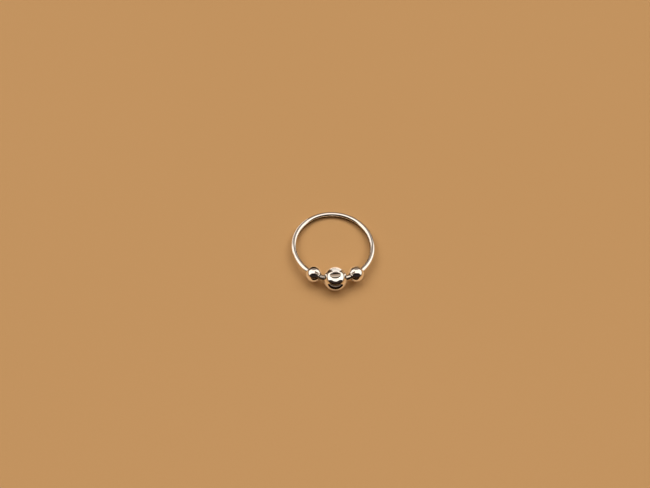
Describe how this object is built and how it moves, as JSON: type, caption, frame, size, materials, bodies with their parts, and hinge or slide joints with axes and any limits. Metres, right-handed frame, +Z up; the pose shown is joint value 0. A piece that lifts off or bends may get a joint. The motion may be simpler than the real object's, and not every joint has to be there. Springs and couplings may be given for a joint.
{
  "type": "beaded nose ring",
  "caption": "Round wire nose hoop with a large polished ball at the front between two smaller threaded beads.",
  "frame": {"origin": "middle of the bounding box's bottom, on the surface that the ring lies on", "axes": "+Z up from the surface, +X to the right seen from the balls, +Y from the centre ball to the back of the wire; the ring lies on its side with the centre ball at -Y"},
  "size_m": [0.0108, 0.0118, 0.003],
  "materials": {
    "silver_wire": "mirror-polished drawn silver wire with fine hairline scratches along its length",
    "silver_beads": "mirror-polished silver balls, tumbled, with very fine handling scratches and worn bore rims"
  },
  "bodies": {
    "root": {"hoop": "silver_wire", "centre_ball": "silver_beads", "bead_left": "silver_beads", "bead_right": "silver_beads"}
  },
  "joints": []
}
